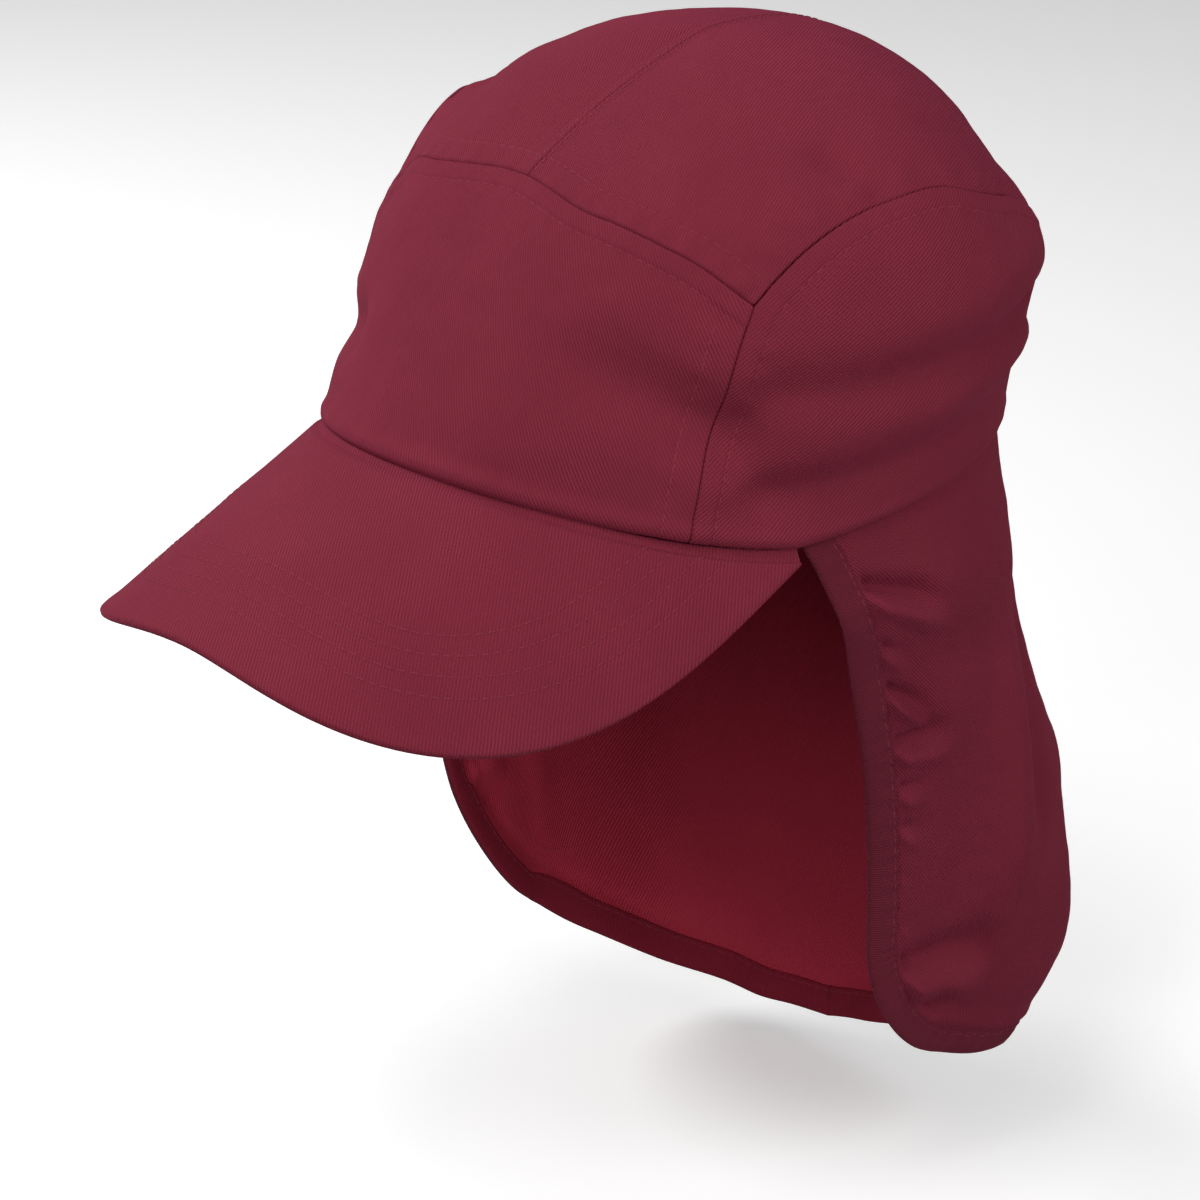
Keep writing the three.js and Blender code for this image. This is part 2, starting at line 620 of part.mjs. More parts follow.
// Pieces
const cloth = new THREE.MeshStandardMaterial({ name: 'cotton_twill', color: 0x7f2d3c, roughness: 0.92, metalness: 0 });
const tape = new THREE.MeshStandardMaterial({ name: 'binding_tape', color: 0x6d2434, roughness: 0.92, metalness: 0 });
const pieces = {
  front_panel: crownPanel(
    patch(rimLine(-52.3, 52.3), crossSeam, (v) => sideFrontSeam(-1)(1 - v), (v) => sideFrontSeam(1)(1 - v)),
    FRONT_STEPS.across,
    FRONT_STEPS.down,
  ),
  top_panel_left: crownPanel(
    patch(middleLine, sideTopSeam(1), (v) => crossSeam(0.5 + v / 2), rimLine(180, 154)),
    TOP_STEPS.along,
    TOP_STEPS.across,
  ),
  top_panel_right: crownPanel(
    patch(middleLine, sideTopSeam(-1), (v) => crossSeam(0.5 - v / 2), rimLine(-180, -154)),
    TOP_STEPS.along,
    TOP_STEPS.across,
  ),
  side_panel_left: crownPanel(
    patch(rimLine(52.3, 154), (u) => sideTopSeam(1)(u * SIDE_TURN), (v) => sideFrontSeam(1)(1 - v),
      (v) => sideTopSeam(1)(1 - v * (1 - SIDE_TURN))),
    SIDE_STEPS.along,
    SIDE_STEPS.down,
  ),
  side_panel_right: crownPanel(
    patch(rimLine(-52.3, -154), (u) => sideTopSeam(-1)(u * SIDE_TURN), (v) => sideFrontSeam(-1)(1 - v),
      (v) => sideTopSeam(-1)(1 - v * (1 - SIDE_TURN))),
    SIDE_STEPS.along,
    SIDE_STEPS.down,
  ),
  peak: peakGeometry(),
  neck_flap: flapGeometry(),
  flap_binding: bindingGeometry(),
};

const cap = new THREE.Group();
cap.name = 'legionnaire_cap';
for (const [name, geometry] of Object.entries(pieces)) {
  const mesh = new THREE.Mesh(geometry, name === 'flap_binding' ? tape : cloth);
  mesh.name = name;
  cap.add(mesh);
}

export default cap;
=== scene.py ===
import math

import bpy
import numpy as np
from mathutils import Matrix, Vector, kdtree, noise


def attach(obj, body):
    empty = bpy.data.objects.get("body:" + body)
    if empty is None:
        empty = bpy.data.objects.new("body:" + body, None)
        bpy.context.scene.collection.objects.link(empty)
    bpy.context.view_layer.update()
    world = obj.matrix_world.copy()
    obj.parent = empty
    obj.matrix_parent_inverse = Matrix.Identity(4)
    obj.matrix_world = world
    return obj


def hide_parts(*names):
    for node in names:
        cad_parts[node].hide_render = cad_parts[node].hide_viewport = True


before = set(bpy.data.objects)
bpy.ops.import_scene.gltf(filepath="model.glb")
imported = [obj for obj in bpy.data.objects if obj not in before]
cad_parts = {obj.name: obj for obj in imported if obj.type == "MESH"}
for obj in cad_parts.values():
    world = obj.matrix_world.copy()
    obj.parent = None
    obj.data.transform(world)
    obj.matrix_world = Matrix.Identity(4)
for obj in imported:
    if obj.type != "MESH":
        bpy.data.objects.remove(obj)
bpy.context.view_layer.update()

# Legionnaire cap. All sizes are in mm until the meshes are made, +Z up, the peak points along -Y.
MM = 0.001
MM_PER_CM = 10
RAD = math.pi / 180

# Camera at the photograph's angle
VIEW_AZIMUTH = 46 * RAD
VIEW_ELEVATION = 24 * RAD
VIEW_DISTANCE = 900
VIEW_FOCAL = 3304.8
VIEW_CENTRE = (672.4, 424.2)
PICTURE = 1200
SENSOR = 36

# Head opening and crown
FRONT_REACH = 101
BACK_REACH = 93
SIDE_REACH = 85
CROWN_HEIGHT = 108
CROWN_LEAN = 18.5
BACK_LIFT = 1.4
SIDE_LIFT = 5
CROWN_CLOTH = 1.3
WRAP_RADIUS = 0.97 * (SIDE_REACH + 4)
SEAM_GAP = 0.3

# Seams, in degrees from the front: the corner of the panels, and where the side panel ends at the rim.
CORNER_ANGLE = 59.0
FOOT_ANGLE = 52.3
HEEL_ANGLE = 154

# Softness of the cloth, large and small waves: height, size, place in the noise.
CROWN_WAVES = ((0.55, 34, 0), (0.16, 9, 500))
FLAP_WAVES = ((0.9, 46, 0), (0.25, 14, 300))

# Peak
PEAK_END_ANGLE = 69.6 * RAD
PEAK_REACH = 131.5
PEAK_HALF_WIDTH = 80.7
PEAK_SQUARENESS = 2.93
PEAK_THICKNESS = 2.6
PEAK_LIFT = 16.8
PEAK_SLOPE = 0.41
PEAK_ARCH_RADIUS = 89
PEAK_ARCH_EASE = -0.104 / 100
PEAK_TUCK = 1.0
PEAK_DIP = 0.9
PEAK_END_DIP = 1.0
PEAK_EDGE_EASE = 1.9
PEAK_ROWS = (14.5, 20.0, 25.5, 31.0)

# Flap
FLAP_START = 1.2 * RAD
FLAP_INSET = 0.8
FLAP_CLOTH = 1.1
FLAP_TUCK = 0.018
FLAP_LENGTH = 175
HALF_ROUND = 172
TUCK_IN = 1.5
TUCK_RUN = 7
SIDE_SHARE = 0.75
HEM_SHARE = 0.14
CORNER_START = 0.8
CORNER_DEPTH = 0.22
BINDING_WIDTH = 9
EDGE_PUFF = 0.9

# Stitches
STITCH_PITCH = 3.1
STITCH_LENGTH = 2.3
STITCH_RADIUS = 0.17
STITCH_LIFT = 0.05
ROW_FRONT = 5.6
ROW_TOP = 7.0
ROW_SIDE = 5.8
ROW_FRONT_SIDE = 7.6
ROW_CENTRE = 1.2

# Crown sections from the crest to the rim: at, height, front, front side, side, back side, back.
CROWN_SECTIONS = np.array([
    (0.00, 1.000, 0.000, 0.000, 0.000, 0.000, 0.000),
    (0.20, 0.970, 0.170, 0.280, 0.360, 0.340, 0.320),
    (0.40, 0.855, 0.450, 0.585, 0.710, 0.640, 0.600),
    (0.55, 0.715, 0.650, 0.775, 0.955, 0.820, 0.775),
    (0.70, 0.530, 0.770, 0.885, 1.075, 1.010, 0.910),
    (0.80, 0.375, 0.835, 0.940, 1.090, 1.070, 0.975),
    (0.90, 0.200, 0.910, 0.970, 1.060, 1.040, 1.000),
    (1.00, 0.000, 1.000, 1.000, 1.000, 1.000, 1.000),
])

# The seam across the front: angle, at.
CROSS_SEAM = np.array([
    (-CORNER_ANGLE, 0.668), (-47, 0.588), (-34, 0.562), (-24, 0.548), (-12, 0.537), (0, 0.537),
    (12, 0.550), (22, 0.566), (32, 0.577), (41, 0.597), (50, 0.629),
    (CORNER_ANGLE, 0.682),
])

# The seam from the corner down to the rim: share of the way down, angle.
SIDE_FRONT_SEAM = np.array([
    (0.00, CORNER_ANGLE), (0.22, 57.2), (0.45, 56.0), (0.72, 54.0), (1.00, FOOT_ANGLE),
])

# The seam over the D-shaped side: angle, at.
SIDE_TOP_SEAM = np.array([
    (CORNER_ANGLE, 0.682), (62, 0.642), (66, 0.598), (71, 0.560), (78, 0.530), (86, 0.518), (93, 0.522),
    (100, 0.550), (107, 0.580), (114, 0.606), (121, 0.642), (131, 0.705), (141, 0.785),
    (149, 0.880), (HEEL_ANGLE, 1.000),
])
SIDE_TURN = 10 / 14

# Folds and dents of the crown: from angle, from at, to angle, to at, width, depth. They fade
# towards their second end.
CROWN_FOLDS = (
    (128, 0.817, 64, 0.805, 7, 6.4),
    (64, 0.948, 126, 0.930, 7.5, 6.0),
    (122, 0.720, 106, 0.715, 9, -1.8),
    (124, 0.866, 84, 0.868, 6, -1.2),
    (140, 0.600, 132, 0.620, 8, 1.6),
    (57, 0.862, 36, 0.800, 10, 7.5),
    (75, 0.440, 81, 0.490, 6, 2.2),
    (-34, 0.860, -62, 0.880, 8, 4.4),
    (-46, 0.775, -60, 0.775, 7, 1.4),
    (-80, 0.460, -40, 0.450, 7, 2.2),
    (-78, 0.535, -66, 0.535, 6, -1.2),
    (-50, 0.655, -66, 0.635, 8, 1.8),
    (-70, 0.800, -104, 0.780, 9, 2.0),
    (-74, 0.910, -116, 0.890, 8, 1.6),
    (-150, 0.860, 160, 0.850, 9, 1.6),
)
FOLD_FADE = 0.5

# Hanging lines of the flap: at, belly, hem out, hem back, drop.
FLAP_LINES = np.array([
    (-1.00, -3.7, -8.6, 37.5, 172),
    (-0.85, 4.0, -14.0, 36.0, 182),
    (-0.60, 15.0, -7.5, 20.0, 195),
    (-0.45, 20.0, -1.5, 11.5, 201),
    (-0.30, 18.0, -3.0, 0.0, 209),
    (0.00, 9.0, -20.0, 0.0, 218),
    (0.30, 16.0, -18.0, -1.0, 219),
    (0.45, 17.0, -14.0, -2.0, 214),
    (0.60, 13.0, -12.0, -4.0, 199.5),
    (0.85, 8.0, -11.5, 13.5, 180),
    (1.00, 12.0, -12.0, 23.5, 170),
])
BELLY_HEIGHT = 1.8
PUFF_DEPTH = 4.2
PUFF_DOWN = 0.14
PUFF_WIDTH = 0.085
PUFF_START = 0.42
PUFF_FADE = 0.22
HEM_CURL = 2.2
EDGE_SWEEP = 2.6

# Soft hanging folds of the flap: top, foot, from, to, width, depth.
FLAP_FOLDS = (
    (-0.42, -0.43, 0.10, 0.52, 0.110, 3.0),
    (-0.46, -0.52, 0.60, 1.34, 0.130, -5.2),
    (-0.53, -0.61, 0.16, 0.66, 0.030, 3.4),
    (-0.62, -0.74, 0.16, 0.84, 0.050, -2.6),
    (-0.80, -0.84, 0.34, 0.80, 0.045, 1.8),
    (-0.20, -0.14, 0.10, 1.00, 0.070, 2.4),
    (0.14, 0.20, 0.15, 1.00, 0.070, 2.0),
    (0.45, 0.52, 0.10, 0.80, 0.060, 2.2),
    (0.70, 0.66, 0.35, 0.95, 0.050, 1.6),
)

# Gathers beside the binding: side, down at the tape, rise over the reach, reach, width, depth.
GATHERS = (
    (-1, 0.085, -0.080, 28, 3.8, 4.8),
    (-1, 0.195, -0.060, 15, 3.2, 3.4),
    (-1, 0.280, -0.095, 20, 3.5, 4.0),
    (-1, 0.390, 0.012, 25, 3.4, 3.6),
    (-1, 0.475, 0.006, 16, 2.8, 2.9),
    (-1, 0.545, -0.022, 15, 3.0, 2.3),
    (-1, 0.640, -0.006, 11, 2.6, 2.0),
    (-1, 0.735, 0.020, 13, 2.8, 1.3),
    (-1, 0.820, 0.055, 40, 5.4, 4.2),
    (-1, 0.915, 0.045, 28, 4.6, 3.2),
    (1, 0.110, -0.030, 22, 4.0, 1.8),
    (1, 0.215, -0.030, 16, 3.4, 1.6),
    (1, 0.320, 0.030, 24, 4.2, 2.0),
    (1, 0.425, 0.020, 20, 3.4, 1.6),
    (1, 0.540, -0.020, 18, 3.4, 1.6),
    (1, 0.655, 0.030, 24, 4.4, 1.8),
    (1, 0.780, 0.050, 28, 5.0, 2.0),
)


def smooth(x):
    t = np.clip(x, 0, 1)
    return t * t * (3 - 2 * t)


def hump(x):
    return np.exp(-x * x)


def eased_between(t, start, end, start_slope, end_slope):
    """Cubic from start to end as t runs from 0 to 1, with its slope at both."""
    return (
        (2 * t**3 - 3 * t**2 + 1) * start
        + (t**3 - 2 * t**2 + t) * start_slope
        + (3 * t**2 - 2 * t**3) * end
        + (t**3 - t**2) * end_slope
    )


def curve(table, column, value):
    """Smooth curve through one column of a table, against its first column."""
    xs, ys = table[:, 0], table[:, column]
    step = np.diff(xs)
    rise = np.diff(ys) / step
    slope = np.concatenate([rise[:1], rise[:1] * np.ones(len(xs) - 2), rise[-1:]])
    slope[1:-1] = (rise[:-1] * step[1:] + rise[1:] * step[:-1]) / (step[:-1] + step[1:])
    x = np.clip(value, xs[0], xs[-1])
    i = np.clip(np.searchsorted(xs, x, side="right") - 1, 0, len(xs) - 2)
    t = (x - xs[i]) / step[i]
    return eased_between(t, ys[i], ys[i + 1], step[i] * slope[i], step[i] * slope[i + 1])


mirrored = CROWN_SECTIONS[:0:-1] * np.array([-1, 1, -1, -1, -1, -1, -1])
FULL_SECTIONS = np.vstack([mirrored, CROWN_SECTIONS])


def unit(v):
    return v / np.linalg.norm(v, axis=-1, keepdims=True)


def rim_plan(angle):
    depth = np.where(np.cos(angle) > 0, FRONT_REACH, BACK_REACH)
    return SIDE_REACH * np.sin(angle), -depth * np.cos(angle)


def rim_normal(angle):
    depth = np.where(np.cos(angle) > 0, FRONT_REACH, BACK_REACH)
    nx, ny = np.sin(angle) / SIDE_REACH, -np.cos(angle) / depth
    length = np.hypot(nx, ny)
    return nx / length, ny / length


def board_height(x, y):
    drop = PEAK_ARCH_RADIUS - np.sqrt(np.maximum(PEAK_ARCH_RADIUS**2 - x * x, 1))
    out = y + FRONT_REACH
    return PEAK_LIFT + PEAK_SLOPE * out - drop * (1 + PEAK_ARCH_EASE * out)


def turned(angle):
    return np.abs((angle + math.pi) % (2 * math.pi) - math.pi)


def rim_height(angle):
    t = turned(angle)
    end = board_height(*rim_plan(PEAK_END_ANGLE))
    share = np.clip((t - PEAK_END_ANGLE) / (math.pi - PEAK_END_ANGLE), 0, 1)
    behind = end + (BACK_LIFT - end) * np.sin(share * math.pi / 2) ** 2
    behind = behind + SIDE_LIFT * np.sin(share * math.pi)
    return np.where(t <= PEAK_END_ANGLE, board_height(*rim_plan(t)), behind)


def reach_share(angle, at):
    """Share of the rim's reach, eased between the five directions of the sections."""
    place = turned(angle) / (math.pi / 4)
    i = np.minimum(3, np.floor(place)).astype(int)
    t = place - i
    columns = np.stack([curve(FULL_SECTIONS, 2 + k, at) for k in (1, 0, 1, 2, 3, 4, 3)])

    def value(k):
        return np.take_along_axis(columns, (k + 1)[None], 0)[0]

    slope_a = (value(i + 1) - value(i - 1)) / 2
    slope_b = (value(i + 2) - value(i)) / 2
    return eased_between(t, value(i), value(i + 1), slope_a, slope_b)


def plain_crown(angle, at):
    height = np.clip(curve(FULL_SECTIONS, 1, at), 0, 1)
    reach = reach_share(angle, at)
    x, y = rim_plan(angle)
    z = CROWN_HEIGHT * height + rim_height(angle) * (1 - height) ** 1.5
    return np.stack([x * reach, y * reach + CROWN_LEAN * height**1.5, z], axis=-1)


def fold_line(fold):
    sweep = (fold[2] - fold[0] + 180) % 360 - 180
    share = np.linspace(0, 1, 7)
    return plain_crown((fold[0] + sweep * share) * RAD, fold[1] + (fold[3] - fold[1]) * share)


FOLD_LINES = [fold_line(fold) for fold in CROWN_FOLDS]


def fold_depth(points):
    total = np.zeros(points.shape[:-1])
    for fold, line in zip(CROWN_FOLDS, FOLD_LINES):
        nearest = np.full(total.shape, np.inf)
        along = np.zeros(total.shape)
        for k, (a, b) in enumerate(zip(line[:-1], line[1:])):
            way = b - a
            share = np.clip(((points - a) @ way) / (way @ way), 0, 1)
            gap = np.linalg.norm(points - a - share[..., None] * way, axis=-1)
            along = np.where(gap < nearest, (k + share) / (len(line) - 1), along)
            nearest = np.minimum(nearest, gap)
        total += fold[5] * (1 - FOLD_FADE * along) * hump(nearest / fold[4])
    return total


def polar(px, py):
    return np.arctan2(px, -py), np.hypot(px, py)


def disc(angle, at):
    return at * np.sin(angle), -at * np.cos(angle)


DISC_STEP = 0.004


def slope_normal(surface, px, py):
    east = surface(px + DISC_STEP, py) - surface(px - DISC_STEP, py)
    north = surface(px, py + DISC_STEP) - surface(px, py - DISC_STEP)
    return unit(np.cross(east, north))


def plain_surface(px, py):
    angle, at = polar(px, py)
    return plain_crown(angle, np.minimum(at, 1))


def crown_surface(px, py):
    angle, at = polar(px, py)
    points = plain_crown(angle, np.minimum(at, 1))
    inner = disc(angle, np.minimum(at, 1 - 2 * DISC_STEP))
    normal = slope_normal(plain_surface, *inner)
    depth = fold_depth(points) * smooth((1 - at) / 0.1)
    return points - normal * depth[..., None]


def crown_normal(px, py):
    angle, at = polar(px, py)
    return slope_normal(crown_surface, *disc(angle, np.minimum(at, 1 - 2 * DISC_STEP)))


# Seams as places on the disc, share 0 to 1 along each.
CORNER_AT = {side: float(curve(CROSS_SEAM, 1, np.array(side * CORNER_ANGLE))) for side in (-1, 1)}
TOP_ROWS = np.column_stack([np.linspace(0, 1, len(SIDE_TOP_SEAM)), SIDE_TOP_SEAM])


def cross_seam(share):
    angle = (2 * share - 1) * CORNER_ANGLE
    return disc(angle * RAD, curve(CROSS_SEAM, 1, angle))


def half_cross_seam(side):
    return lambda share: cross_seam(0.5 + side * share / 2)


def side_front_seam(side):
    def line(down):
        at = CORNER_AT[side] + (1 - CORNER_AT[side]) * down
        return disc(side * curve(SIDE_FRONT_SEAM, 1, down) * RAD, at)
    return line


def side_top_seam(side):
    def line(share):
        fit = (CORNER_AT[side] - SIDE_TOP_SEAM[0, 1]) * (1 - smooth(share / 0.3))
        return disc(side * curve(TOP_ROWS, 1, share) * RAD, curve(TOP_ROWS, 2, share) + fit)
    return line


def split_side_seam(side):
    """The seam over the side as the far and the end edge of its panel."""
    seam = side_top_seam(side)
    return lambda u: seam(u * SIDE_TURN), lambda v: seam(1 - v * (1 - SIDE_TURN))


def rim_line(start, end):
    return lambda share: disc((start + (end - start) * share) * RAD, np.ones_like(share))


def backward(line):
    return lambda share: line(1 - share)


def middle_line(share):
    front = float(curve(CROSS_SEAM, 1, np.array(0.0)))
    return np.zeros_like(share), -front + (1 + front) * share


def patch(near, far, start, end):
    """A four-sided patch between its edges. near and far run with u, start and end with v."""
    zero, one = np.array(0.0), np.array(1.0)

    def place(u, v):
        sides = zip(near(u), far(u), start(v), end(v), near(zero), near(one), far(zero), far(one))
        return [
            (1 - v) * n + v * f + (1 - u) * s + u * e
            - (1 - u) * (1 - v) * c00 - u * (1 - v) * c10 - (1 - u) * v * c01 - u * v * c11
            for n, f, s, e, c00, c10, c01, c11 in sides
        ]
    return place


def eased(count, pull):
    """Shares 0 to 1 that stand closer together at both ends."""
    t = np.linspace(0, 1, count + 1)
    return t - pull * np.sin(2 * math.pi * t) / (2 * math.pi)


def fractal(points, size, octaves=3):
    """Soft noise from -1 to 1 over points, with features of about the size."""
    flat = points.reshape(-1, 3) / size
    values = [noise.fractal(Vector(p), 0.9, 2.0, octaves) for p in flat.tolist()]
    return np.array(values).reshape(points.shape[:-1])


def waves(points, layers):
    return sum(height * fractal(points + place, size) for height, size, place in layers)


def run_along(line):
    """Length along a line of points, from its start to each point."""
    return np.concatenate([[0], np.cumsum(np.linalg.norm(np.diff(line, axis=0), axis=1))])


def nearest_on(line, points):
    """For each point the index of the nearest place on a line, and the distance."""
    tree = kdtree.KDTree(len(line))
    for k, place in enumerate(line.tolist()):
        tree.insert(place, k)
    tree.balance()
    found = [tree.find(p)[1:] for p in points.reshape(-1, 3).tolist()]
    index = np.array([f[0] for f in found]).reshape(points.shape[:-1])
    gap = np.array([f[1] for f in found]).reshape(points.shape[:-1])
    return index, gap


# Meshes
def faces_of_sheet(columns, rows):
    """Quads of a closed sheet of an outer and an inner grid, and which faces are on the inside."""
    index = np.arange((columns + 1) * (rows + 1)).reshape(rows + 1, columns + 1)
    a, b, c, d = index[:-1, :-1], index[:-1, 1:], index[1:, 1:], index[1:, :-1]
    outer = np.stack([a, b, c, d], axis=-1).reshape(-1, 4)
    back = index.size
    inner = outer[:, ::-1] + back
    ring = np.concatenate([index[0, :-1], index[:-1, -1], index[-1, :0:-1], index[:0:-1, 0]])
    following = np.roll(ring, -1)
    edge = np.stack([following, ring, ring + back, following + back], axis=-1)
    quads = np.vstack([outer, inner, edge])
    inside = np.zeros(len(quads), dtype=np.int32)
    inside[len(outer):len(outer) + len(inner)] = 1
    return quads, inside


def mesh_object(name, points, quads, materials, uv=None, inside=None):
    """Smooth mesh object from points in mm and quads facing out."""
    p = points[quads]
    volume = np.einsum("ij,ij->i", p[:, 0], np.cross(p[:, 1], p[:, 2])).sum()
    volume += np.einsum("ij,ij->i", p[:, 0], np.cross(p[:, 2], p[:, 3])).sum()
    if volume < 0:
        quads = quads[:, ::-1]
    mesh = bpy.data.meshes.new(name)
    mesh.vertices.add(len(points))
    mesh.vertices.foreach_set("co", (points * MM).astype(np.float32).ravel())
    mesh.loops.add(quads.size)
    mesh.loops.foreach_set("vertex_index", quads.astype(np.int32).ravel())
    mesh.polygons.add(len(quads))
    mesh.polygons.foreach_set("loop_start", np.arange(0, quads.size, 4, dtype=np.int32))
    mesh.update(calc_edges=True)
    if uv is not None:
        layer = mesh.uv_layers.new(name="cloth")
        layer.data.foreach_set("uv", uv[quads.ravel()].astype(np.float32).ravel())
    for material in materials:
        mesh.materials.append(material)
    if inside is not None:
        mesh.polygons.foreach_set("material_index", inside)
    mesh.polygons.foreach_set("use_smooth", np.ones(len(quads), dtype=bool))
    mesh.validate()
    piece = bpy.data.objects.new(name, mesh)
    bpy.context.scene.collection.objects.link(piece)
    return piece


def woven(u, v, turn):
    """Cloth coordinates in cm from lengths in mm, with the ribs of the weave turned by an angle."""
    c, s = math.cos(turn * RAD), math.sin(turn * RAD)
    return np.stack([c * u + s * v, -s * u + c * v], axis=-1) / MM_PER_CM


def crest_length(angle, at):
    """Length over the crown from the crest to each place."""
    shares = np.linspace(0, 1, 41)
    total = np.zeros_like(at)
    before = plain_crown(angle, at * 0)
    for share in shares[1:]:
        after = plain_crown(angle, at * share)
        total += np.linalg.norm(after - before, axis=-1)
        before = after
    return total


def crown_weave(px, py, turn, flat_top):
    """Weave of a crown panel: laid flat over the crest, or wrapped round the sides."""
    angle, at = polar(px, py)
    at = np.minimum(at, 1)
    length = crest_length(angle, at)
    if flat_top:
        return woven(*disc(angle, length), turn)
    return woven(angle * WRAP_RADIUS, -length, turn)


def sheet_object(name, outer, inner, uv, materials):
    rows, columns = outer.shape[0] - 1, outer.shape[1] - 1
    quads, inside = faces_of_sheet(columns, rows)
    uv = uv.reshape(-1, 2)
    points = np.vstack([outer.reshape(-1, 3), inner.reshape(-1, 3)])
    return mesh_object(name, points, quads, materials, np.vstack([uv, uv]), inside)


def grid_normal(points):
    """Unit normals of a grid of points."""
    return unit(np.cross(np.gradient(points, axis=1), np.gradient(points, axis=0)))


# Stitches
def capsule_rings():
    share = np.array([-1.0, -0.8, -0.35, 0.35, 0.8, 1.0])
    width = np.array([0.25, 0.75, 1.0, 1.0, 0.75, 0.25])
    return share, width


def sampled(run, values, places):
    """Values given along a run, read between its points."""
    return np.stack([np.interp(places, run, values[:, k]) for k in range(3)], axis=-1)


def stitch_object(name, rows, material, pitch=STITCH_PITCH, length=STITCH_LENGTH, radius=STITCH_RADIUS):
    """One mesh of all stitches along rows of (points, normals)."""
    share, width = capsule_rings()
    turn = np.arange(6) * math.pi / 3
    ring_size = len(turn)
    size = len(share) * ring_size
    points, quads, count = [], [], 0
    for line, normals in rows:
        run = run_along(line)
        places = np.arange(pitch, run[-1] - pitch, pitch)
        mid = sampled(run, line, places)
        way = unit(sampled(run, line, places + length / 2) - sampled(run, line, places - length / 2))
        up = unit(sampled(run, normals, places))
        side = unit(np.cross(way, up))
        up = np.cross(side, way)
        for k in range(len(places)):
            ring = mid[k] + way[k] * (share * length / 2)[:, None, None]
            offset = np.cos(turn)[None, :, None] * side[k] + np.sin(turn)[None, :, None] * up[k]
            ring = ring + offset * (width * radius)[:, None, None] - up[k] * radius * 0.3
            points.append(ring.reshape(-1, 3))
            index = count + np.arange(size).reshape(-1, ring_size)
            nxt = np.roll(index, -1, axis=1)
            quads.append(np.stack([index[:-1], nxt[:-1], nxt[1:], index[1:]], axis=-1).reshape(-1, 4))
            for end in (index[0], index[-1, ::-1]):
                quads.append(np.array([[end[3], end[2], end[1], end[0]], [end[5], end[4], end[3], end[0]]]))
            count += size
    return mesh_object(name, np.vstack(points), np.vstack(quads), [material])


def line_at(points, normals, distance, offset, along_rows, clear=None):
    """The line of a grid where the distance from an edge is the offset, where the rest is clear."""
    clear = np.ones_like(distance) if clear is None else clear
    if not along_rows:
        grids = (points, normals, distance, clear)
        points, normals, distance, clear = (np.swapaxes(grid, 0, 1) for grid in grids)
    line, ups = [], []
    for j in range(points.shape[1]):
        d = distance[:, j]
        near = np.argmin(d)
        steps = range(near, len(d) - 1) if near < len(d) / 2 else range(near, 0, -1)
        way = 1 if near < len(d) / 2 else -1
        for i in steps:
            if d[i] <= offset < d[i + way]:
                t = (offset - d[i]) / (d[i + way] - d[i])
                if clear[i, j] > 0:
                    line.append(points[i, j] * (1 - t) + points[i + way, j] * t)
                    ups.append(normals[i, j])
                break
    return np.array(line), np.array(ups)


def seam_distance(points, seam, count=700):
    """Distance of each point from a seam, and how far along the seam its nearest place is."""
    share = np.linspace(0, 1, count)
    line = crown_surface(*seam(share))
    index, gap = nearest_on(line, points)
    return gap, run_along(line)[index]


def rolled(gap, radius):
    """How far an edge of this radius has turned in, against the distance from the edge."""
    return radius - np.sqrt(np.maximum(radius**2 - np.maximum(radius - gap, 0) ** 2, 0))


def crown_piece(name, place, columns, rows, edges, turn, materials, flat_top=False):
    """A crown panel. edges maps each side of the grid to its seam and how it is sewn."""
    u, v = np.meshgrid(eased(columns, 0.75), eased(rows, 0.75))
    px, py = place(u, v)
    base = crown_surface(px, py)
    normal = crown_normal(px, py)
    lift = waves(base, CROWN_WAVES)
    distances, sewn = {}, {}
    for side, (seam, kind) in edges.items():
        gap, along = seam_distance(base, seam)
        distances[side] = gap
        lift *= smooth(gap / 12) * 0.75 + 0.25
        before, place_before = sewn.get(kind, (gap, along))
        sewn[kind] = np.minimum(gap, before), np.where(gap < before, along, place_before)
    for kind, (gap, along) in sewn.items():
        lift += SEWN[kind](gap, along)
    outer = base + normal * lift[..., None]
    inner = base - normal * CROWN_CLOTH
    piece = sheet_object(name, outer, inner, crown_weave(px, py, turn, flat_top), materials)
    return piece, outer, grid_normal(outer), distances


def band(gap, width, height):
    """A seam allowance under the cloth, which ends at a row of stitches."""
    return height * smooth((width + 1.4 - gap) / 3.0) - 0.2 * hump((gap - width) / 0.6)


def pucker(gap, along, width, depth, pitch):
    wave = np.sin(2 * math.pi * along / pitch + 1.3 * np.sin(along / 17))
    return depth * wave * hump((gap - width) / 3.2)


# How each kind of seam shapes the cloth beside it: g is the distance from it, s the way along it.
SEWN = {
    "front_over": lambda g, s: band(g, ROW_FRONT, 0.35) - rolled(g, 0.9) + pucker(g, s, ROW_FRONT, 0.10, 8.5),
    "top_under": lambda g, s: band(g, ROW_TOP, 0.15) - rolled(g, 1.2) + pucker(g, s, 2.5, 0.16, 7.3),
    "front_side": lambda g, s: (
        band(g, ROW_FRONT_SIDE, 0.2) - rolled(g, 1.0) + pucker(g, s, ROW_FRONT_SIDE, 0.14, 9.0)
    ),
    "side_over": lambda g, s: band(g, ROW_SIDE, 0.4) - rolled(g, 0.8) + pucker(g, s, ROW_SIDE, 0.14, 8.0),
    "top_side": lambda g, s: -rolled(g, 1.3) - 0.5 * hump(g / 4.0) + pucker(g, s, 5.0, 0.40, 12.5),
    "centre": lambda g, s: -rolled(g, 0.5) + band(g, 3.0, 0.12) * 0.6,
    "rim": lambda g, s: hump((g - 2.6) / 2.4) - rolled(g, 1.4) * 1.15 + pucker(g, s, 5.0, 0.12, 11.0),
}


# Materials
def link(tree, start, end):
    tree.links.new(start, end)


